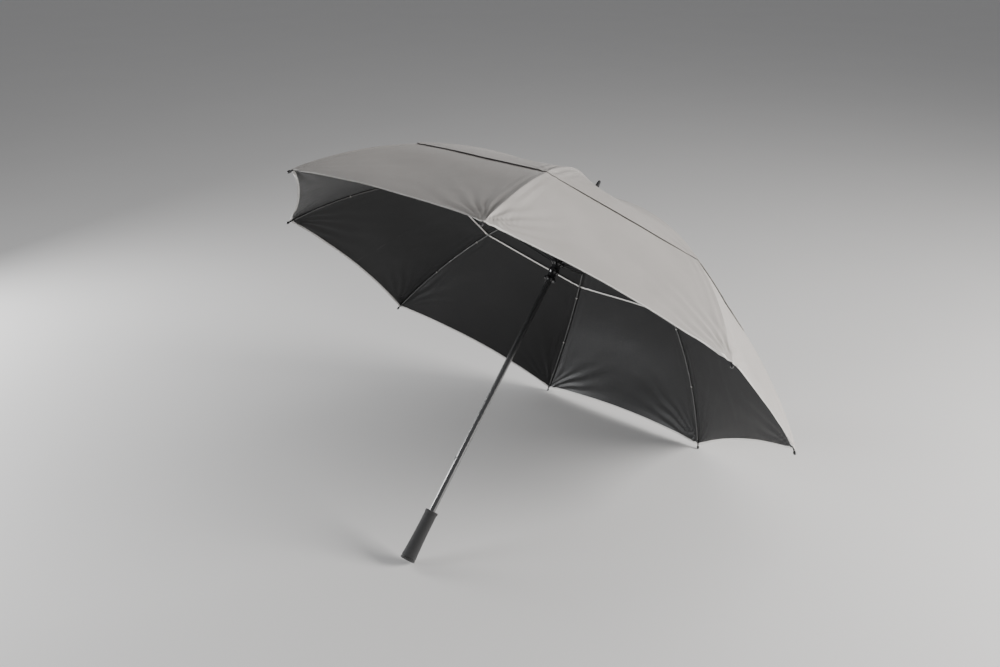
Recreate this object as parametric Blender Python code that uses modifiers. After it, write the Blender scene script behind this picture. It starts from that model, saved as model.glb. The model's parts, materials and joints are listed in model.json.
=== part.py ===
"""Golf umbrella, opened and laid down on the heel of its grip and two rib tips.

The umbrella is modelled upright in its own frame: the shaft is the Z axis, the grip is at -Z, the
ferrule at +Z, and Z = 0 is the level of the rib ends. At the end every piece is tilted into the
lying-down rest pose, with +Z up, the shaft rising toward +Y and the floor at Z = 0.

Each rib is one springy glass-fibre rod in the real umbrella. Here it is two rods with a flex
hinge between them, because a rigid rod could not straighten as the umbrella closes. The canopy is
cut midway between the ribs, so every strip of cloth rides on its own rib.
"""
import math

import bmesh
import bpy
from mathutils import Matrix, Vector

# --- driving dimensions, metres -----------------------------------------------------------------
RIBS = 8
PITCH = math.radians(45)
FIRST_RIB = math.radians(247.5)       # rib 1; the next ones follow clockwise seen from the ferrule
HALF = PITCH / 2

CROWN_Z = 0.357                       # height of the crown hinges above the rib ends
HINGE_R = 0.013                       # radius of the crown hinges and of the runner hinges
RIB_BEND = 0.890                      # radius of the rib's arc
RIB_START = math.radians(5)           # slope of the rib where it leaves the crown
RIB_R = 0.0017
ROD_END = 0.738                       # arc length at which the rib rod ends inside its tip
TIP_END = 0.7625
BALL_R = 0.0033                       # the round end of a rib tip
CLIP_S = 0.325                        # arc length of the stretcher clip
CLIP_DROP = 0.0052                    # stretcher pin below the rib's centre line
FLEX_S = 0.336                        # arc length of the flex hinge
FLEX_GAP = 0.0006
STRETCHER_R = 0.0016
EYE_R = 0.0024
EYE_T = 0.0032
CLOSED_ANGLE = math.radians(4)        # rib chord to shaft when closed
FLEX_ANGLE = math.radians(19.2)       # how far the outer rod straightens

SHAFT_R = 0.0070
SHAFT_BORE = 0.0060
SHAFT_LOW = -0.5745
SHAFT_TOP = 0.368
GAP = 0.0003

GRIP_LOW = -0.5757
GRIP_TOP = -0.463
HEEL_R = 0.0172
HEEL_Z = -0.582
HEEL_ROUND = 0.0020

RUNNER_BELOW = 0.0460                 # runner's bottom below its hinge ring
RUNNER_ABOVE = 0.0080
RUNNER_BORE = 0.0074
RUNNER_TUBE = 0.0106
SLOT_W = 0.0040
CATCH_AT = math.radians(-135)         # side of the shaft on which the catches stand
CATCH_T = 0.0016
CATCH_OUT = 0.0092
CATCH_TRAVEL = 0.0027

CLOTH_T = 0.0008
LOWER_OFF = 0.0032                    # cloth's middle above the rib's centre line
UPPER_OFF = 0.0053
LOWER_S = (0.381, 0.752)              # arc lengths of the lower canopy at a rib
UPPER_S = (0.010, 0.467)              # arc lengths of the upper canopy at a rib
SEAM_GAP = 0.0002                     # gap on each side of a cut between two strips
SCALLOP = 0.018                       # how far the rim is cut back midway between ribs
VENT_PUFF = 0.012                     # how far the upper canopy lifts midway between ribs

# --- start from an empty scene ------------------------------------------------------------------
for old in list(bpy.data.objects):
    bpy.data.objects.remove(old, do_unlink=True)

umbrella = bpy.data.collections.new("golf_umbrella")
cutters = bpy.data.collections.new("cutters")
bpy.context.scene.collection.children.link(umbrella)
bpy.context.scene.collection.children.link(cutters)

WIRE_R = 0.00045
BLACK = (0.015, 0.015, 0.016, 1)
GLASS_FIBRE = (0.05, 0.05, 0.05, 1)
STEEL = (0.55, 0.55, 0.56, 1)
SILVER = (0.42, 0.40, 0.38, 1)
PLACE = {}                            # name -> (origin in the plane of rib angle 0, turn angle)


# --- small builders -----------------------------------------------------------------------------
def material(name, color, roughness, metallic):
    m = bpy.data.materials.new(name)
    m.use_nodes = True
    s = m.node_tree.nodes["Principled BSDF"]
    s.inputs["Base Color"].default_value = color
    s.inputs["Roughness"].default_value = roughness
    s.inputs["Metallic"].default_value = metallic
    return m


def add(name, mesh, color=BLACK, roughness=0.5, metallic=0.0, pivot=(0, 0, 0), turn=0.0):
    """A named piece of the umbrella, with its own material and its own origin.

    The mesh is drawn in the plane of rib angle 0 and turned about the shaft by the angle turn.
    """
    obj = bpy.data.objects.new(name, mesh)
    mesh.name = name
    mesh.materials.clear()
    mesh.materials.append(material(name, color, roughness, metallic))
    umbrella.objects.link(obj)
    PLACE[name] = (Vector(pivot), turn)
    return obj


def cutter(name, mesh, turn=0.0):
    obj = bpy.data.objects.new(name, mesh)
    obj.hide_render = True
    obj.display_type = "WIRE"
    cutters.objects.link(obj)
    PLACE[name] = (Vector((0, 0, 0)), turn)
    return obj


def finish(bm, smooth=True):
    bmesh.ops.recalc_face_normals(bm, faces=bm.faces)
    mesh = bpy.data.meshes.new("shape")
    bm.to_mesh(mesh)
    bm.free()
    mesh.polygons.foreach_set("use_smooth", [smooth] * len(mesh.polygons))
    return mesh


def wire_mesh(points, loop):
    """A line of edges through (x, z) points in the XZ plane."""
    bm = bmesh.new()
    verts = [bm.verts.new((x, 0, z)) for x, z in points]
    for a, b in zip(verts, verts[1:] + (verts[:1] if loop else [])):
        bm.edges.new((a, b))
    mesh = bpy.data.meshes.new("profile")
    bm.to_mesh(mesh)
    bm.free()
    return mesh


def turn_on_axis(name, profile, steps=24, loop=True, **look):
    """A turned piece: a profile of (radius, height) points with a Screw modifier about Z."""
    obj = add(name, wire_mesh(profile, loop), **look)
    screw = obj.modifiers.new("turn", "SCREW")
    screw.axis = "Z"
    screw.steps = screw.render_steps = steps
    screw.use_merge_vertices = True
    screw.merge_threshold = 0.00002
    screw.use_smooth_shade = True
    return obj


def meshed(curve, name="shape"):
    """The closed mesh of a curve, with its caps welded on."""
    helper = bpy.data.objects.new("pattern_curve", curve)
    umbrella.objects.link(helper)
    bpy.context.view_layer.update()
    graph = bpy.context.evaluated_depsgraph_get()
    mesh = bpy.data.meshes.new_from_object(helper.evaluated_get(graph))
    bpy.data.objects.remove(helper, do_unlink=True)
    bm = bmesh.new()
    bm.from_mesh(mesh)
    bmesh.ops.remove_doubles(bm, verts=bm.verts, dist=0.00001)
    return finish(bm)


def rod(stations, radii, resolution=1):
    """A round rod through (x, z, slope) stations in the XZ plane, closed at both ends."""
    curve = bpy.data.curves.new("rod", "CURVE")
    curve.dimensions = "3D"
    curve.bevel_depth = 1.0
    curve.bevel_resolution = resolution
    curve.use_fill_caps = True
    spline = curve.splines.new("POLY")
    spline.points.add(len(stations) - 1)
    for point, (x, z, _), radius in zip(spline.points, stations, radii):
        point.co = (x, 0, z, 1)
        point.radius = radius
    return meshed(curve)


def plate(outline, thickness):
    """A flat plate standing in the XZ plane, from an outline of (x, z) points."""
    curve = bpy.data.curves.new("plate", "CURVE")
    curve.dimensions = "2D"
    curve.fill_mode = "BOTH"
    curve.extrude = thickness / 2
    spline = curve.splines.new("POLY")
    spline.points.add(len(outline) - 1)
    for point, (x, z) in zip(spline.points, outline):
        point.co = (x, z, 0, 1)
    spline.use_cyclic_u = True
    mesh = meshed(curve)
    mesh.transform(Matrix.Rotation(math.pi / 2, 4, "X"))
    mesh.polygons.foreach_set("use_smooth", [False] * len(mesh.polygons))
    return mesh


def drum(center, radius, length, sides=10):
    """A short cylinder lying across the rib, with its axis along Y."""
    bm = bmesh.new()
    bmesh.ops.create_cone(bm, cap_ends=True, segments=sides, radius1=radius, radius2=radius,
                          depth=length, matrix=Matrix.Translation(center)
                          @ Matrix.Rotation(math.pi / 2, 4, "X"))
    return finish(bm)


def box(center, size, slope=0.0):
    bm = bmesh.new()
    bmesh.ops.create_cube(bm, size=1, matrix=Matrix.Translation(center)
                          @ Matrix.Rotation(slope, 4, "Y") @ Matrix.Diagonal((*size, 1)))
    return finish(bm, smooth=False)


def boolean(obj, other, operation):
    mod = obj.modifiers.new(operation.lower(), "BOOLEAN")
    mod.operation = operation
    mod.solver = "EXACT"
    mod.object = other


def combined(base, steps):
    """The mesh left when the steps (operation, mesh) are applied to a base mesh in turn."""
    obj = bpy.data.objects.new("pattern", base)
    umbrella.objects.link(obj)
    helpers = []
    for operation, mesh in steps:
        helper = bpy.data.objects.new("pattern_tool", mesh)
        umbrella.objects.link(helper)
        helpers.append(helper)
        boolean(obj, helper, operation)
    bpy.context.view_layer.update()
    made = bpy.data.meshes.new_from_object(obj.evaluated_get(bpy.context.evaluated_depsgraph_get()))
    for helper in helpers + [obj]:
        bpy.data.objects.remove(helper, do_unlink=True)
    return made


def rib_angle(k):
    return FIRST_RIB - PITCH * k


# --- the rib's curve and the linkage --------------------------------------------------------------
def rib(s, off=0.0):
    """Point (x, z, slope) on the rib at arc length s, moved off the curve to its outer side."""
    t = RIB_START + s / RIB_BEND
    x = HINGE_R + RIB_BEND * (math.sin(t) - math.sin(RIB_START)) + off * math.sin(t)
    z = CROWN_Z - RIB_BEND * (math.cos(RIB_START) - math.cos(t)) + off * math.cos(t)
    return x, z, t


pin_x, pin_z, pin_slope = rib(CLIP_S, -CLIP_DROP)
RING_Z = CROWN_Z - 2 * (CROWN_Z - pin_z)          # the linkage is an isosceles triangle
STRETCHER_L = math.hypot(pin_x - HINGE_R, CROWN_Z - pin_z)
OPEN_ANGLE = math.atan2(pin_x - HINGE_R, CROWN_Z - pin_z)
FOLD = OPEN_ANGLE - CLOSED_ANGLE                  # how far a rib turns to close
TRAVEL = 2 * STRETCHER_L * (math.cos(CLOSED_ANGLE) - math.cos(OPEN_ANGLE))
RUNNER_LOW = RING_Z - RUNNER_BELOW
RUNNER_TOP = RING_Z + RUNNER_ABOVE
flex_x, flex_z, _ = rib(FLEX_S)


# --- shaft, grip, ferrule -------------------------------------------------------------------------
TOP_CATCH_Z = RUNNER_LOW - 0.0004
BOTTOM_CATCH_Z = RUNNER_LOW - TRAVEL - 0.0004
CATCH_H = 0.016

shaft = turn_on_axis("shaft_tube", [(SHAFT_R, SHAFT_TOP), (SHAFT_R, SHAFT_LOW),
                                    (SHAFT_BORE, SHAFT_LOW), (SHAFT_BORE, SHAFT_TOP)],
                     color=BLACK, roughness=0.15, metallic=0.3)
for label, z in (("top", TOP_CATCH_Z), ("bottom", BOTTOM_CATCH_Z)):
    slot = box((SHAFT_R, 0, z - CATCH_H / 2), (0.008, CATCH_T + 2 * GAP, CATCH_H + 2 * GAP))
    boolean(shaft, cutter("cut_%s_catch_slot" % label, slot, CATCH_AT), "DIFFERENCE")

turn_on_axis("grip", [(0.0140, GRIP_TOP), (0.0150, GRIP_TOP - 0.0015), (0.0150, GRIP_TOP - 0.006),
                      (0.0141, GRIP_TOP - 0.0075), (0.0143, GRIP_TOP - 0.030),
                      (0.0150, GRIP_TOP - 0.070), (0.0163, GRIP_LOW + 0.012),
                      (0.0170, GRIP_LOW + 0.002), (0.0165, GRIP_LOW),
                      (SHAFT_R + GAP, GRIP_LOW), (SHAFT_R + GAP, GRIP_TOP)],
             color=(0.03, 0.03, 0.032, 1), roughness=0.85)

heel = [(HEEL_R - HEEL_ROUND * (1 - math.cos(a)), HEEL_Z + HEEL_ROUND * (1 - math.sin(a)))
        for a in (math.radians(d) for d in (0, 30, 60, 90))]
plug_r = SHAFT_BORE - GAP
rest_z = GRIP_LOW - GAP - 0.0004
turn_on_axis("grip_end_cap", [(0, SHAFT_LOW + 0.008), (plug_r, SHAFT_LOW + 0.008), (plug_r, rest_z),
                              (HEEL_R - 0.0010, rest_z), (HEEL_R, rest_z - 0.0008)]
             + heel + [(0, HEEL_Z)], steps=40, loop=False, roughness=0.45)

turn_on_axis("ferrule", [(0, 0.4030), (0.0022, 0.4026), (0.0036, 0.4005), (0.0042, 0.397),
                         (0.0052, 0.388), (0.0078, 0.374), (0.0098, 0.3680), (0.0100, 0.3668),
                         (SHAFT_R + GAP, 0.3668), (SHAFT_R + GAP, SHAFT_TOP + GAP),
                         (0, SHAFT_TOP + GAP)], steps=16, loop=False, roughness=0.3)
turn_on_axis("crown_washer", [(SHAFT_R + GAP, 0.3664), (0.0150, 0.3660), (0.0240, 0.3641),
                              (0.0240, 0.3630), (0.0220, 0.3636), (SHAFT_R + GAP, 0.3650)],
             roughness=0.4)

# --- crown: slotted hub with a tie wire through the eyes of the ribs ------------------------------
crown = turn_on_axis("crown", [(SHAFT_R + GAP, CROWN_Z + 0.005), (0.0115, CROWN_Z + 0.005),
                               (0.0121, CROWN_Z + 0.0045), (0.0121, CROWN_Z - 0.0009),
                               (0.0139, CROWN_Z - 0.0009), (0.0139, CROWN_Z + 0.0035),
                               (0.0158, CROWN_Z + 0.0030), (0.0160, CROWN_Z - 0.0040),
                               (0.0120, CROWN_Z - 0.0065), (0.0105, CROWN_Z - 0.0130),
                               (SHAFT_R + GAP, CROWN_Z - 0.0130)], roughness=0.4)


def slots(z, height, inner):
    """Eight upright slots, one in line with each rib."""
    bm = bmesh.new()
    for k in range(RIBS):
        bmesh.ops.create_cube(bm, size=1, matrix=Matrix.Rotation(rib_angle(k), 4, "Z")
                              @ Matrix.Translation((inner + 0.006, 0, z))
                              @ Matrix.Diagonal((0.012, SLOT_W, height, 1)))
    return finish(bm, smooth=False)


boolean(crown, cutter("cut_crown_slots", slots(CROWN_Z - 0.004, 0.0240, 0.0102)), "DIFFERENCE")

wire = [(HINGE_R + WIRE_R * math.cos(a), CROWN_Z - WIRE_R * math.sin(a))
        for a in (2 * math.pi * i / 4 for i in range(4))]
turn_on_axis("crown_wire", wire, steps=40, color=STEEL, roughness=0.3, metallic=1.0)

# --- runner: slotted sleeve that slides on the shaft ----------------------------------------------
B, T = RUNNER_LOW, RUNNER_TOP
MID, TALL = (B + T) / 2, T - B + 0.004
runner = turn_on_axis("runner", [(RUNNER_BORE, T), (0.0125, T), (0.0150, T - 0.003),
                                 (0.0160, RING_Z + 0.003), (0.0160, RING_Z - 0.004),
                                 (RUNNER_TUBE, RING_Z - 0.008), (RUNNER_TUBE, B + 0.030),
                                 (0.0125, B + 0.027), (0.0128, B + 0.021),
                                 (RUNNER_TUBE, B + 0.017), (RUNNER_TUBE, B + 0.008),
                                 (0.0140, B + 0.005), (0.0148, B + 0.003), (0.0140, B),
                                 (RUNNER_BORE, B)], roughness=0.35, pivot=(0, 0, RING_Z))
boolean(runner, cutter("cut_runner_slots", slots(MID, TALL, RUNNER_TUBE - 0.0001)), "DIFFERENCE")
keyway = box((0.0068, 0, MID), (0.0056, CATCH_T + 0.0010, TALL))
boolean(runner, cutter("cut_runner_keyway", keyway, CATCH_AT), "DIFFERENCE")

# --- the two spring catches in the shaft ----------------------------------------------------------
for label, z in (("top", TOP_CATCH_Z), ("bottom", BOTTOM_CATCH_Z)):
    nose = plate([(0.0030, z), (CATCH_OUT, z), (CATCH_OUT, z - 0.0015),
                  (SHAFT_R - 0.0004, z - CATCH_H), (0.0030, z - CATCH_H)], CATCH_T)
    add(label + "_catch", nose, STEEL, 0.3, 1.0, pivot=(SHAFT_R, 0, z), turn=CATCH_AT)


# --- ribs, tips and stretchers --------------------------------------------------------------------
def along(s0, s1, count):
    return [rib(s0 + (s1 - s0) * i / (count - 1)) for i in range(count)]


clip_x, clip_z, clip_slope = rib(CLIP_S)
ear_x, ear_z, _ = rib(CLIP_S, -0.0038)
inner_rod = rod(along(0.0012, FLEX_S - FLEX_GAP, 7), [RIB_R] * 7)
sleeve = rod(along(CLIP_S - 0.007, CLIP_S + 0.007, 2), [0.0025] * 2)
ears = [box((ear_x, side * 0.0024, ear_z), (0.0052, 0.0010, 0.0070), clip_slope)
        for side in (-1, 1)]
inner_mesh = combined(inner_rod, [
    ("UNION", drum((HINGE_R, 0, CROWN_Z), EYE_R, EYE_T)),
    ("UNION", sleeve), ("UNION", ears[0]), ("UNION", ears[1]),
    ("UNION", drum((pin_x, 0, pin_z), 0.00075, 0.0050, 8)),
    ("DIFFERENCE", drum((HINGE_R, 0, CROWN_Z), 0.00090, 0.010, 8))])

outer_mesh = rod(along(FLEX_S + FLEX_GAP, ROD_END, 8), [RIB_R] * 8)

tip_stations = [(ROD_END + GAP, 0.0014), (0.7390, 0.0017), (0.7535, 0.0017), (0.7545, 0.0028),
                (0.7575, BALL_R), (0.7600, 0.0031), (0.7617, 0.0020), (TIP_END, 0.0006)]
tip_mesh = rod([rib(s) for s, _ in tip_stations], [r for _, r in tip_stations], 2)

lean = math.atan2(RING_Z - pin_z, pin_x - HINGE_R)     # slope of the stretcher from runner to pin


def on_stretcher(d):
    f = d / STRETCHER_L
    return HINGE_R + (pin_x - HINGE_R) * f, RING_Z + (pin_z - RING_Z) * f, lean


stretcher_mesh = combined(rod([on_stretcher(0.0005), on_stretcher(STRETCHER_L - 0.0005)],
                              [STRETCHER_R] * 2), [
    ("UNION", drum((HINGE_R, 0, RING_Z), EYE_R - 0.0003, EYE_T)),
    ("UNION", drum((pin_x, 0, pin_z), EYE_R, EYE_T)),
    ("DIFFERENCE", drum((HINGE_R, 0, RING_Z), 0.0008, 0.010, 8)),
    ("DIFFERENCE", drum((pin_x, 0, pin_z), 0.0012, 0.010, 8))])

crown_hinge = (HINGE_R, 0, CROWN_Z)
flex_hinge = (flex_x, 0, flex_z)
clip_pin = (pin_x, 0, pin_z)
for k in range(RIBS):
    i, turn = k + 1, rib_angle(k)
    add("rib_inner_%d" % i, inner_mesh.copy(), GLASS_FIBRE, 0.35, 0, crown_hinge, turn)
    add("rib_outer_%d" % i, outer_mesh.copy(), GLASS_FIBRE, 0.35, 0, flex_hinge, turn)
    add("rib_tip_%d" % i, tip_mesh.copy(), BLACK, 0.4, 0, flex_hinge, turn)
    add("stretcher_%d" % i, stretcher_mesh.copy(), STEEL, 0.35, 1, clip_pin, turn)


# --- canopy: a lower ring and an upper cap, vented where they overlap -------------------------------
def cloth(s_range, off, scallop, puff, rows):
    """One strip of cloth centred on a rib, reaching halfway to the ribs on both sides."""
    bm = bmesh.new()
    bmesh.ops.create_grid(bm, x_segments=rows, y_segments=6, size=1)
    for vert in bm.verts:
        v, q = (vert.co.x + 1) / 2, vert.co.y
        hump = 1 - (1 - abs(q)) ** 2                  # 0 at the rib, 1 midway to the next one
        s = s_range[0] + (s_range[1] - scallop * hump - s_range[0]) * v
        x, z, _ = rib(s, off + puff * hump * v ** 3)
        half_chord = x * math.cos(HALF) * math.sin(HALF)
        f = q * (1 - SEAM_GAP / half_chord)
        vert.co = (x * (1 - abs(f) * math.sin(HALF) ** 2), f * half_chord, z)
    return finish(bm)


lower_mesh = cloth(LOWER_S, LOWER_OFF, SCALLOP, 0.0, 6)
upper_mesh = cloth(UPPER_S, UPPER_OFF, 0.0, VENT_PUFF, 7)

for k in range(RIBS):
    for label, mesh, pivot in (("lower", lower_mesh, flex_hinge), ("upper", upper_mesh, crown_hinge)):
        panel = add("%s_canopy_%d" % (label, k + 1), mesh.copy(), SILVER, 0.55, 0, pivot,
                    rib_angle(k))
        shell = panel.modifiers.new("thickness", "SOLIDIFY")
        shell.thickness = CLOTH_T
        shell.offset = 0
        shell.use_even_offset = True

# --- lay the umbrella down ------------------------------------------------------------------------
# The heel's rounded edge and the balls of the two lowest tips touch the floor together.
ball_x, ball_z, _ = rib(0.7575)
reach = ball_x * math.cos(HALF) - (HEEL_R - HEEL_ROUND)
rise = ball_z - (HEEL_Z + HEEL_ROUND)
ELEVATION = math.acos((HEEL_ROUND - BALL_R) / math.hypot(reach, rise)) - math.atan2(rise, reach)
LAY = Matrix.Rotation(ELEVATION - math.pi / 2, 4, "X")

pieces = list(umbrella.objects) + list(cutters.objects)
for obj in pieces:
    pivot, turn = PLACE[obj.name]
    obj.data.transform(Matrix.Translation(-pivot))
    obj.matrix_world = LAY @ Matrix.Rotation(turn, 4, "Z") @ Matrix.Translation(pivot)

bpy.context.view_layer.update()
graph = bpy.context.evaluated_depsgraph_get()
low = Vector((9, 9, 9))
high = -low
for obj in umbrella.objects:
    solid = obj.evaluated_get(graph)
    for v in solid.to_mesh().vertices:
        w = obj.matrix_world @ v.co
        low = Vector(map(min, low, w))
        high = Vector(map(max, high, w))
    solid.to_mesh_clear()
SHIFT = -Vector(((low.x + high.x) / 2, (low.y + high.y) / 2, low.z))
for obj in pieces:
    obj.location += SHIFT
bpy.context.view_layer.update()
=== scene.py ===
# %% [markdown]
# # A golf umbrella, opened and laid on the floor
# The frame (shaft, ribs, stretchers, runner, grip) comes from the CAD model and is never changed.
# This script gives it finishes, and makes the cloth: a canopy in two layers, silver outside and
# black inside, with hems, seams and the small folds that a stretched cloth shows at its corners.

# %% Load the frame
import json
import math

import bpy
import numpy as np
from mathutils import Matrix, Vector, noise


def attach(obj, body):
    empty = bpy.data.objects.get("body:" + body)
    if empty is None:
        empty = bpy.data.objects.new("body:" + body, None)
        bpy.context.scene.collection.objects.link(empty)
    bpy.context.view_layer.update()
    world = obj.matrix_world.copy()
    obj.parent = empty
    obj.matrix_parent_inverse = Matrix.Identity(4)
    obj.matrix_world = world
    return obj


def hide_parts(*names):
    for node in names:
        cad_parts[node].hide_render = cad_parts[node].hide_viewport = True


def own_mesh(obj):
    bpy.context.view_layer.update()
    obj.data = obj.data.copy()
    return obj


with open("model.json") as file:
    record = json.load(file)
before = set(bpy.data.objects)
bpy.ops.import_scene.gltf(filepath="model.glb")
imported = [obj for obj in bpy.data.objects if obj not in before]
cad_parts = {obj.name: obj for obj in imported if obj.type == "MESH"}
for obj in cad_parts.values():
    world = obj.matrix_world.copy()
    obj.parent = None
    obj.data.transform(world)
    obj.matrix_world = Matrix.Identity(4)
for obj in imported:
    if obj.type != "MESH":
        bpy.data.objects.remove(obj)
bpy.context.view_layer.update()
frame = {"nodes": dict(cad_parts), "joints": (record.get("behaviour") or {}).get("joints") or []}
RIBS = 8
print("frame loaded:", len(frame["nodes"]), "solids")

# %% [markdown]
# The umbrella lies on its side, so it is easier to think in its own directions: `up` runs along
# the shaft to the ferrule. Each rib has an `out` direction, away from the shaft, and a `side`
# direction, around it. All three are read from the joints of the frame.

# %% The umbrella's own directions
joints = {j["name"]: j for j in frame["joints"]}
up = -Vector(joints["runner_slide"]["axis"]).normalized()
hinge = {k: Vector(joints["rib_fold_%d" % k]["pos_m"]) for k in range(1, RIBS + 1)}
side = {k: Vector(joints["rib_fold_%d" % k]["axis"]).normalized() for k in hinge}
out = {k: side[k].cross(up) for k in hinge}
crown = sum(hinge.values(), Vector()) / RIBS
HINGE_R = (hinge[1] - crown).length
HALF = math.pi / RIBS
print("shaft rises at", round(math.degrees(math.asin(up.z)), 2), "degrees")


def on_rib_plane(k, x, z, y=0.0):
    """The point x from the shaft, z above the crown hinges and y to the side of rib k."""
    return crown + out[k] * x + up * z + side[k] * y


# %% [markdown]
# A rib is a springy rod bent into an arc. Its arc length `s` is the natural ruler for everything
# sewn to it, so one function turns `s` into a place, and the cloth is drawn on top of it.

# %% The rib's arc
RIB_BEND = 0.890
RIB_START = math.radians(5)


def rib(s, off=0.0):
    """Distance from the shaft and height above the crown, off the rod's middle by off."""
    t = RIB_START + s / RIB_BEND
    x = HINGE_R + RIB_BEND * (math.sin(t) - math.sin(RIB_START)) + off * math.sin(t)
    return x, -RIB_BEND * (math.cos(RIB_START) - math.cos(t)) + off * math.cos(t)


RIM_S, INNER_S, VENT_S, TOP_S = 0.752, 0.381, 0.467, 0.010
FLEX_S = 0.336
print("rim at", round(rib(RIM_S)[0], 3), "m from the shaft")

# %% [markdown]
# ## Finishes
# Every finish is procedural. A small helper starts a Principled shader, and two more add what
# nearly all of them share: a slow change of colour and a fine bump.


# %% Helpers for finishes
# A mix node keeps its two colours and its colour result at these places among its sockets.
MIX_FIRST, MIX_SECOND, MIX_COLOR = 6, 7, 2


def finish_of(name, color, roughness, metallic=0.0, **sockets):
    mat = bpy.data.materials.new(name)
    mat.use_nodes = True
    shader = mat.node_tree.nodes["Principled BSDF"]
    shader.inputs["Base Color"].default_value = (*color, 1)
    shader.inputs["Roughness"].default_value = roughness
    shader.inputs["Metallic"].default_value = metallic
    for socket, value in sockets.items():
        shader.inputs[socket.replace("_", " ")].default_value = value
    return mat


def node(mat, kind, **values):
    made = mat.node_tree.nodes.new(kind)
    for key, value in values.items():
        if key in made.inputs:
            made.inputs[key].default_value = value
        else:
            setattr(made, key, value)
    return made


def link(mat, source, target):
    mat.node_tree.links.new(source, target)


def noise_of(mat, scale, detail=3.0):
    """A noise in metres, so that scale is the number of lumps in a metre."""
    place = node(mat, "ShaderNodeTexCoord")
    lumps = node(mat, "ShaderNodeTexNoise", Scale=scale, Detail=detail)
    link(mat, place.outputs["Object"], lumps.inputs["Vector"])
    return lumps.outputs["Fac"]


def vary(mat, factor, low, high, socket):
    """Feed a shader socket with two values or colours mixed by a factor."""
    if isinstance(low, tuple):
        mix = node(mat, "ShaderNodeMix", data_type="RGBA")
        for entry, color in ((MIX_FIRST, low), (MIX_SECOND, high)):
            mix.inputs[entry].default_value = (*color, 1)
        link(mat, factor, mix.inputs[0])
        result = mix.outputs[MIX_COLOR]
    else:
        ramp = node(mat, "ShaderNodeMapRange")
        ramp.inputs["To Min"].default_value = low
        ramp.inputs["To Max"].default_value = high
        link(mat, factor, ramp.inputs["Value"])
        result = ramp.outputs["Result"]
    link(mat, result, mat.node_tree.nodes["Principled BSDF"].inputs[socket])
    return result


def bump(mat, height, distance, strength=1.0):
    relief = node(mat, "ShaderNodeBump", Distance=distance, Strength=strength)
    link(mat, height, relief.inputs["Height"])
    link(mat, relief.outputs["Normal"], mat.node_tree.nodes["Principled BSDF"].inputs["Normal"])


# %% [markdown]
# The cloth is a tight plain weave: pongee with a silver coat outside and black inside. The weave
# is two sets of bands crossed at right angles, drawn in the cut's own metres, so the threads
# follow each strip. A row of stitches runs along both sides of the seam on each rib.


# %% Cloth finishes
THREAD_PITCH = 0.0006
STITCH_ROW, STITCH_WIDE, STITCH_PITCH, STITCH_SHARE = 0.0032, 0.00045, 0.0034, 0.68


def cloth_finish(name, dark, light, rough, weave, stitch, **sockets):
    mat = finish_of(name, light, rough, **sockets)
    cut = node(mat, "ShaderNodeUVMap", uv_map="cut")
    split = node(mat, "ShaderNodeSeparateXYZ")
    link(mat, cut.outputs["UV"], split.inputs["Vector"])

    def maths(operation, a, b=None):
        step = node(mat, "ShaderNodeMath", operation=operation)
        for socket, value in zip(step.inputs, (a, b)):
            if isinstance(value, (int, float)):
                socket.default_value = value
            elif value is not None:
                link(mat, value, socket)
        return step.outputs["Value"]

    threads = []
    for axis in ("X", "Y"):
        phase = maths("MULTIPLY", split.outputs[axis], 2 * math.pi / THREAD_PITCH)
        threads.append(maths("SINE", phase))
    woven = maths("MULTIPLY", threads[0], threads[1])
    away = maths("ABSOLUTE", maths("SUBTRACT", maths("ABSOLUTE", split.outputs["X"]), STITCH_ROW))
    row = maths("LESS_THAN", away, STITCH_WIDE)
    along = maths("FRACT", maths("MULTIPLY", split.outputs["Y"], 1 / STITCH_PITCH))
    dash = maths("LESS_THAN", along, STITCH_SHARE)
    sewn = maths("MULTIPLY", row, dash)
    base = vary(mat, noise_of(mat, 9.0, 5.0), dark, light, "Base Color")
    thread = node(mat, "ShaderNodeMix", data_type="RGBA")
    thread.inputs[MIX_SECOND].default_value = (*stitch, 1)
    link(mat, sewn, thread.inputs[0])
    link(mat, base, thread.inputs[MIX_FIRST])
    link(mat, thread.outputs[MIX_COLOR], mat.node_tree.nodes["Principled BSDF"].inputs["Base Color"])
    vary(mat, noise_of(mat, 40.0, 4.0), rough - 0.06, rough + 0.06, "Roughness")
    height = maths("ADD", maths("MULTIPLY", woven, weave), maths("MULTIPLY", sewn, -0.6))
    crumple = maths("MULTIPLY", noise_of(mat, 55.0, 6.0), 2.2)
    bump(mat, maths("ADD", height, crumple), 0.00025, 0.6)
    return mat


SILVER = cloth_finish("silver coat", (0.365, 0.342, 0.322), (0.480, 0.452, 0.428), 0.52, 0.25,
                      (0.50, 0.47, 0.45), Sheen_Weight=0.15, Sheen_Roughness=0.4)
LINING = cloth_finish("black lining", (0.009, 0.009, 0.0095), (0.016, 0.0157, 0.016), 0.40, 0.25,
                      (0.03, 0.03, 0.03), Sheen_Weight=0.25, Sheen_Roughness=0.35)
# The bright hem finish is the real turned hem inside; on the outside of the lower strips' rim it is a
# painted highlight.
HEM_AND_RIM_HIGHLIGHT = cloth_finish("turned hem and painted rim highlight", (0.74, 0.72, 0.69), (0.82, 0.80, 0.77), 0.45, 0.25,
                   (0.25, 0.24, 0.23), Sheen_Weight=0.1)
print("cloth finishes:", SILVER.name, "-", LINING.name, "-", HEM_AND_RIM_HIGHLIGHT.name)

# %% [markdown]
# Hard parts: a gloss-black enamelled shaft, moulded black plastic, glass-fibre ribs under a thin
# clear coat, black-coated stretchers, bright spring steel, and the foam of the grip.


# %% Hard finishes
def hard_finish(name, dark, light, rough, grain, depth, metallic=0.0, **sockets):
    mat = finish_of(name, light, rough, metallic, **sockets)
    vary(mat, noise_of(mat, grain / 8, 3.0), dark, light, "Base Color")
    vary(mat, noise_of(mat, grain, 4.0), rough * 0.85, rough * 1.2, "Roughness")
    bump(mat, noise_of(mat, grain, 5.0), depth, 0.4)
    return mat


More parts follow.
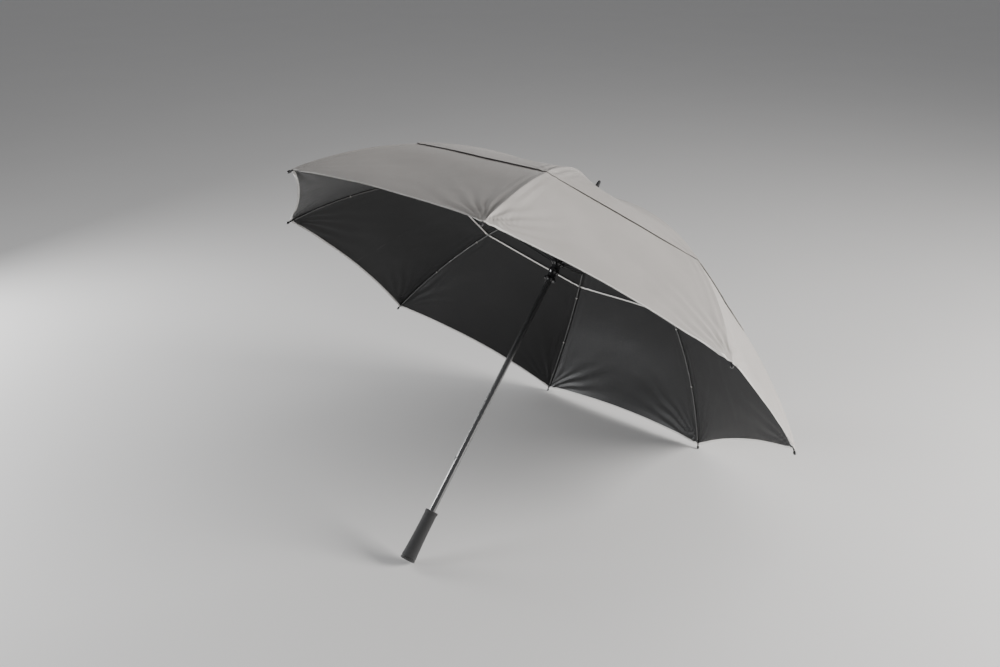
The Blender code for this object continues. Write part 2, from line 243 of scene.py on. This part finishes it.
ENAMEL = hard_finish("black enamel", (0.010, 0.010, 0.011), (0.016, 0.016, 0.017), 0.24, 300, 0.00002,
                     Coat_Weight=1.0, Coat_Roughness=0.12, Coat_IOR=2.2, Specular_IOR_Level=1.0)
PLASTIC = hard_finish("moulded black", (0.010, 0.010, 0.011), (0.018, 0.018, 0.019), 0.24, 1600,
                      0.00004, Coat_Weight=0.5, Coat_Roughness=0.15)
FIBRE = hard_finish("glass fibre", (0.09, 0.09, 0.09), (0.15, 0.148, 0.145), 0.24, 900, 0.00003,
                    Coat_Weight=0.6, Coat_Roughness=0.12)
COATED = hard_finish("coated steel", (0.020, 0.020, 0.022), (0.035, 0.035, 0.037), 0.32, 1200, 0.00003,
                     metallic=0.6)
STEEL = hard_finish("bright steel", (0.48, 0.48, 0.49), (0.58, 0.58, 0.59), 0.28, 1500, 0.00002,
                    metallic=1.0)
FOAM = hard_finish("grip foam", (0.008, 0.008, 0.0085), (0.016, 0.016, 0.017), 0.82, 1100, 0.00035,
                   Sheen_Weight=0.2, Sheen_Roughness=0.6)


def finish_for(name):
    if name.startswith(("rib_inner", "rib_outer")):
        return FIBRE
    if name.startswith("stretcher"):
        return COATED
    if name in ("crown_wire", "top_catch", "bottom_catch"):
        return STEEL
    return {"shaft_tube": ENAMEL, "grip": FOAM, "grip_end_cap": FOAM}.get(name, PLASTIC)


for name, solid in frame["nodes"].items():
    for slot in solid.material_slots:
        slot.material = finish_for(name)

# %% [markdown]
# The grip is the piece nearest to the eye, so its foam sleeve is turned again here, finer than in
# the frame: a rolled rim at the top with a groove below it, and a slow swell toward the heel.


# %% The foam grip
def turned(name, profile, finish, solid, steps=96):
    """Turn (radius, height above the crown) points round the shaft, closed on themselves."""
    angles = [2 * math.pi * i / steps for i in range(steps)]
    verts = [crown + (side[1] * math.sin(a) + out[1] * math.cos(a)) * r + up * z
             for r, z in profile for a in angles]
    n = len(profile)
    faces = [(i * steps + j, i * steps + (j + 1) % steps, (i + 1) % n * steps + (j + 1) % steps,
              (i + 1) % n * steps + j) for i in range(n) for j in range(steps)]
    mesh = bpy.data.meshes.new(name)
    mesh.from_pydata([tuple(v) for v in verts], [], faces)
    if mesh.polygons[0].normal.dot(mesh.polygons[0].center - crown - up * profile[0][1]) < 0:
        mesh.flip_normals()
    mesh.polygons.foreach_set("use_smooth", [True] * len(faces))
    mesh.set_sharp_from_angle(angle=math.radians(40))
    mesh.materials.append(finish)
    obj = bpy.data.objects.new(name, mesh)
    bpy.context.scene.collection.objects.link(obj)
    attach(obj, "shaft")
    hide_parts(solid)
    return obj


def swept(points, count=5):
    """More points along a profile, on smooth curves through the given ones."""
    made = []
    for i in range(len(points) - 1):
        a, b = Vector(points[max(i - 1, 0)]), Vector(points[i])
        c, d = Vector(points[i + 1]), Vector(points[min(i + 2, len(points) - 1)])
        for j in range(count):
            t = j / count
            made.append(tuple(0.5 * (2 * b + (c - a) * t + (2 * a - 5 * b + 4 * c - d) * t * t
                                     + (3 * b - a - 3 * c + d) * t ** 3)))
    return made + [tuple(points[-1])]


grip_top, grip_low = -0.820, -0.9327
foam = swept([(0.0132, grip_top), (0.0147, grip_top - 0.0010), (0.0151, grip_top - 0.0038),
              (0.0147, grip_top - 0.0066), (0.0141, grip_top - 0.0085), (0.0141, grip_top - 0.012),
              (0.0143, grip_top - 0.034), (0.0149, grip_top - 0.066), (0.0160, grip_low + 0.018),
              (0.0168, grip_low + 0.004), (0.0168, grip_low + 0.0012), (0.0160, grip_low)])
turned("grip_sleeve", foam + [(0.0073, grip_low), (0.0073, grip_top)], FOAM, "grip")
print("foam grip:", round(grip_top - grip_low, 3), "m long")

# %% [markdown]
# ## The canopy
# Real cloth is cut in triangles that meet on the ribs. Between two ribs it is pulled straight,
# so a cross-section is an octagon, but not quite: both layers draw in a little halfway between
# the ribs, the rim is scalloped, and the cap's edge stands clear of the cloth below it.
# Each strip here is centred on its rib, reaches halfway to both neighbours and folds with it.
# At the edge, it meets the next strip point for point, so the cloth reads as one.


# %% How far the cloth stands off the rib
LOWER_OFF, UPPER_OFF = 0.0034, 0.0056
SAG, DIP, LIFT, SEAM, PULL = 0.007, 0.0115, 0.0012, 0.0004, 0.0013
DIP_END = 0.79


def ease(value, start, end):
    t = min(max((value - start) / (end - start), 0.0), 1.0)
    return t * t * (3 - 2 * t)


def fan(k, corner_s, s, y, reach, height, count):
    """Folds that spread from the corner where the cloth is tied to the rib's end."""
    d = math.hypot(corner_s - s, y)
    angle = math.atan2(y, abs(corner_s - s) + 1e-6)
    wobble = 1.6 * noise.noise(Vector((angle * 2.2, k * 1.7, d * 22)))
    crease = math.sin(count * angle + wobble + 2.4 * k)
    uneven = 0.55 + 0.9 * noise.noise(Vector((angle * 3.0, k * 3.1, 1.5)))
    return height * uneven * math.exp(-d / reach) * ease(d, 0.004, 0.026) * crease


def stand_off(k, layer, s, q, y, place):
    """Height over the rib's arc. q is 0 on the rib and 1 or -1 at the cuts, and y is in metres."""
    hump = 1 - (1 - abs(q)) ** 2
    slow = noise.noise(place * 7.0) * 0.0022 + noise.noise(place * 19.0) * 0.0007
    seam = SEAM * (1 - ease(abs(y), 0.0035, 0.0060))
    pull = PULL * math.sin(y * 2 * math.pi / 0.019 + k) * math.exp(-(y / 0.032) ** 2)
    pull *= ease(abs(y), 0.004, 0.012) * (0.4 + noise.noise(Vector((s * 9, k, 3.3))))
    if layer == "lower":
        v = (s - INNER_S) / (RIM_S - INNER_S)
        sag = -SAG * hump * math.sin(math.pi * ease(v, 0.22, 1.0))
        folds = fan(k, RIM_S, s, y, 0.062, 0.0052, 21.0) + fan(k, INNER_S, s, y, 0.03, 0.0014, 9.0)
        return LOWER_OFF + sag + seam + pull + slow * hump + folds
    v = (s - TOP_S) / (VENT_S - TOP_S)
    dip = -DIP * hump * abs(math.sin(math.pi * min(v / DIP_END, 1.0))) ** 0.8
    lift = LIFT * hump * ease(v, 0.8, 1.0)
    folds = fan(k, VENT_S, s, y, 0.045, 0.0022, 11.0)
    return UPPER_OFF + dip + lift + seam + pull + slow * hump * 0.8 + folds


SCALLOP = 0.018


def cloth_point(k, layer, v, q):
    """A point of the cloth: v runs from the inner edge to the outer one, q across the strip."""
    hump = 1 - (1 - abs(q)) ** 2
    first, last = (INNER_S, RIM_S) if layer == "lower" else (TOP_S, VENT_S)
    s = first + (last - (SCALLOP * hump if layer == "lower" else 0) - first) * v
    x, z = rib(s)
    y = q * x * math.cos(HALF) * math.sin(HALF)
    place = on_rib_plane(k, x * (1 - abs(q) * math.sin(HALF) ** 2), z, y)
    x, z = rib(s, stand_off(k, layer, s, q, y, place))
    y = q * x * math.cos(HALF) * math.sin(HALF)
    return on_rib_plane(k, x * (1 - abs(q) * math.sin(HALF) ** 2), z, y), s, y


# %% [markdown]
# A strip is a grid of those points, closer together beside the rib, where the seam and the
# folds are, and at the edges, where the hem is turned. The lining is the same grid 0.6 mm
# inside, and the outer hem is three times as thick. Along the cut between two strips the normals
# are laid in the plane of that cut, so both sides catch the light alike and no line shows.

# %% The grid of a strip
ACROSS = 26
ROWS = {"lower": 64, "upper": 72}
HEM_W = 0.0046
CLOTH = 0.0006


def rows_of(layer):
    length = (RIM_S - INNER_S) if layer == "lower" else (VENT_S - TOP_S)
    edge = HEM_W / length
    inner = [0.0, edge * 0.5, edge] if layer == "lower" else [0.0, edge]
    body = np.linspace(edge, 1 - edge, ROWS[layer])[1:-1]
    return inner + list(body) + [1 - edge, 1 - edge * 0.5, 1.0]


def grid_of(k, layer):
    """Outer points, normals and cut coordinates of one strip, as arrays."""
    half = [(j / ACROSS) ** 1.7 for j in range(1, ACROSS + 1)]
    across = [-q for q in reversed(half)] + [0.0] + half
    rows = rows_of(layer)
    points = np.zeros((len(rows), len(across), 3))
    cut = np.zeros((len(rows), len(across), 2))
    for i, v in enumerate(rows):
        for j, q in enumerate(across):
            place, s, y = cloth_point(k, layer, v, q)
            points[i, j] = place
            cut[i, j] = (y, s)
    down = np.gradient(points, axis=0)
    along = np.gradient(points, axis=1)
    normals = np.cross(down, along)
    normals /= np.linalg.norm(normals, axis=2, keepdims=True)
    if np.dot(normals[len(rows) // 2, ACROSS], np.array(up)) < 0:
        normals = -normals
    for j, sign in ((0, -1), (-1, 1)):
        wall = np.array(side[k] * math.cos(HALF) - sign * out[k] * math.sin(HALF))
        normals[:, j] -= (normals[:, j] @ wall)[:, None] * wall
        normals[:, j] /= np.linalg.norm(normals[:, j], axis=1, keepdims=True)
    return points, normals, cut


# %% From grid to cloth
def sew(name, points, normals, cut, hem_first, hem_last, painted_rim_highlight=False):
    """A thin closed sheet: silver outside, black inside, with the hem rows turned in, and if asked, a
    painted highlight in hem finish along the outside of the rim.
    """
    n, m = points.shape[:2]
    thick = np.full((n, 1, 1), CLOTH)
    if hem_last:
        thick[-hem_last - 1:] = 3 * CLOTH
    inside = points - normals * thick
    verts = np.concatenate([points.reshape(-1, 3), inside.reshape(-1, 3)])
    shade = np.concatenate([normals.reshape(-1, 3), -normals.reshape(-1, 3)])
    coords = np.concatenate([cut.reshape(-1, 2), cut.reshape(-1, 2)])
    faces, slots = [], []
    back = n * m
    for i in range(n - 1):
        for j in range(m - 1):
            a, b, c, d = i * m + j, i * m + j + 1, (i + 1) * m + j + 1, (i + 1) * m + j
            faces.append((a, d, c, b))
            # The outside of the rim's last row can take the bright hem finish: a painted highlight
            # along the rim.
            slots.append(2 if painted_rim_highlight and i == n - 2 else 0)
            faces.append((back + a, back + b, back + c, back + d))
            slots.append(2 if i < hem_first or i >= n - 1 - hem_last else 1)
    ring = list(range(m)) + [i * m + m - 1 for i in range(1, n)]
    ring += [(n - 1) * m + j for j in range(m - 2, -1, -1)] + [i * m for i in range(n - 2, 0, -1)]
    for a, b in zip(ring, ring[1:] + ring[:1]):
        faces.append((a, b, back + b, back + a))
        # The edge wall along the rim takes the bright hem finish too, as part of the painted
        # highlight.
        slots.append(2 if painted_rim_highlight and min(a, b) >= (n - 1) * m else 0)
    mesh = bpy.data.meshes.new(name)
    mesh.from_pydata(verts.tolist(), [], faces)
    if mesh.polygons[0].normal.dot(Vector(normals[0, 0])) < 0:
        mesh.flip_normals()
    mesh.polygons.foreach_set("material_index", slots)
    mesh.polygons.foreach_set("use_smooth", [True] * len(faces))
    layer = mesh.uv_layers.new(name="cut")
    corner = np.zeros(len(mesh.loops), dtype=int)
    mesh.loops.foreach_get("vertex_index", corner)
    layer.data.foreach_set("uv", coords[corner].ravel())
    mesh.normals_split_custom_set_from_vertices(shade.tolist())
    for finish in (SILVER, LINING, HEM_AND_RIM_HIGHLIGHT):
        mesh.materials.append(finish)
    obj = bpy.data.objects.new(name, mesh)
    bpy.context.scene.collection.objects.link(obj)
    return obj


# %% [markdown]
# The upper cap crosses the bend of the rib, so each of its strips is made as one grid and then
# parted there: the inner part rides on the rib, and the skirt beyond it on the rib's springy
# end.


def hang(obj, body, replaced):
    """Hang a strip on its rib's body, give it a mesh of its own and hide the frame's cloth it
    replaces.
    """
    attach(obj, body)
    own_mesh(obj)
    for solid in replaced:
        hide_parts(solid)


for k in range(1, RIBS + 1):
    points, normals, cut = grid_of(k, "lower")
    # The lower strips get the painted highlight along the outside of their rim.
    lower = sew("lower_panel_%d" % k, points, normals, cut, 2, 2, True)
    hang(lower, "rib_end_%d" % k,
         ["lower_canopy_%d" % k])
    points, normals, cut = grid_of(k, "upper")
    bend = int(np.argmin(abs(cut[:, ACROSS, 1] - FLEX_S)))
    cap = sew("cap_panel_%d" % k, points[:bend + 1], normals[:bend + 1], cut[:bend + 1], 0, 0)
    hang(cap, "rib_%d" % k,
         ["upper_canopy_%d" % k])
    skirt = sew("cap_skirt_%d" % k, points[bend:], normals[bend:], cut[bend:], 0, 2)
    hang(skirt, "rib_end_%d" % k,
         [])
print("canopy sewn:", 3 * RIBS, "pieces of cloth")

# %% [markdown]
# ## Small sewn details
# The canopy is tied to each rib with a few turns of thread, which show as small bright bands
# on the rod. A tie is a short coil, so it is a curve wound round the rib's arc.


# %% Ties on the ribs
TURNS, STEPS_A_TURN = 4, 10
TIES = ((0.215, "rib_%d"), (0.425, "rib_end_%d"), (0.590, "rib_end_%d"))


def tie(k, s, body, count):
    radius, pitch = 0.0021, 0.0008
    curve = bpy.data.curves.new("tie", "CURVE")
    curve.dimensions = "3D"
    curve.bevel_depth = 0.0004
    curve.bevel_resolution = 1
    curve.use_fill_caps = True
    spline = curve.splines.new("POLY")
    steps = TURNS * STEPS_A_TURN
    spline.points.add(steps)
    for i in range(steps + 1):
        a = 2 * math.pi * i / STEPS_A_TURN
        x, z = rib(s + pitch * (i / STEPS_A_TURN - TURNS / 2), radius * math.cos(a))
        spline.points[i].co = (*on_rib_plane(k, x, z, radius * math.sin(a)), 1)
    obj = bpy.data.objects.new("tie_%d_%d" % (k, count), curve)
    curve.materials.append(THREAD)
    bpy.context.scene.collection.objects.link(obj)
    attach(obj, body)


THREAD = hard_finish("waxed thread", (0.40, 0.39, 0.37), (0.62, 0.60, 0.57), 0.5, 2500, 0.0001)
for k in range(1, RIBS + 1):
    for count, (s, body) in enumerate(TIES):
        tie(k, s, body % k, count + 1)
print("ties wound:", 3 * RIBS)

# %% [markdown]
# ## Floor, light and camera
# A plain pale floor and soft studio light: one large lamp high behind on the right, as bright
# on the tilted panels as an overcast window, a weaker one in front for the lining, a faint one
# overhead, and a tall strip on the left that draws a bright line down the shaft.


# %% Floor
bpy.ops.mesh.primitive_plane_add(size=90, location=(0, 0, 0))
floor = bpy.context.object
floor.name = "floor"
ground = finish_of("pale floor", (0.83, 0.82, 0.81), 0.6)
vary(ground, noise_of(ground, 2.0, 4.0), (0.82, 0.81, 0.80), (0.85, 0.84, 0.83), "Base Color")
floor.data.materials.append(ground)


# %% Lights
def lamp(name, place, target, power, size, color=(1, 1, 1), length=None):
    data = bpy.data.lights.new(name, "AREA")
    data.shape = "DISK" if length is None else "RECTANGLE"
    data.size = size
    data.size_y = length or size
    data.energy = power
    data.color = color
    obj = bpy.data.objects.new(name, data)
    bpy.context.scene.collection.objects.link(obj)
    obj.location = place
    obj.rotation_euler = (Vector(target) - Vector(place)).to_track_quat("-Z", "Y").to_euler()


middle = Vector((0, 0, 0.4))
lamp("key", (3.3, 1.4, 1.35), middle, 222, 1.5, (1.0, 0.985, 0.965))
lamp("front", (-2.2, -2.7, 0.55), middle, 92, 1.3, (0.97, 0.985, 1.0))
lamp("top", (0.8, 0.8, 3.6), middle, 12, 2.4)
lamp("strip", (-2.26, -0.67, 0.92), (0, -0.2, 0.25), 24, 0.5, length=1.2)
world = bpy.data.worlds.new("studio")
world.use_nodes = True
world.node_tree.nodes["Background"].inputs["Color"].default_value = (0.80, 0.81, 0.83, 1)
world.node_tree.nodes["Background"].inputs["Strength"].default_value = 0.27
bpy.context.scene.world = world

# %% [markdown]
# The camera stands in front on the right, above the rim, and looks down at about 25 degrees
# with a slightly wide lens, and its picture is level.

# %% Camera
AZIMUTH, PITCH = math.radians(39.96), math.radians(25.16)
cam_data = bpy.data.cameras.new("camera")
cam_data.sensor_width = 36
cam_data.lens = 34.95
camera = bpy.data.objects.new("camera", cam_data)
camera.location = (1.261, -1.5997, 1.371)
camera.rotation_euler = (math.pi / 2 - PITCH, 0, AZIMUTH)
bpy.context.scene.collection.objects.link(camera)
bpy.context.scene.camera = camera
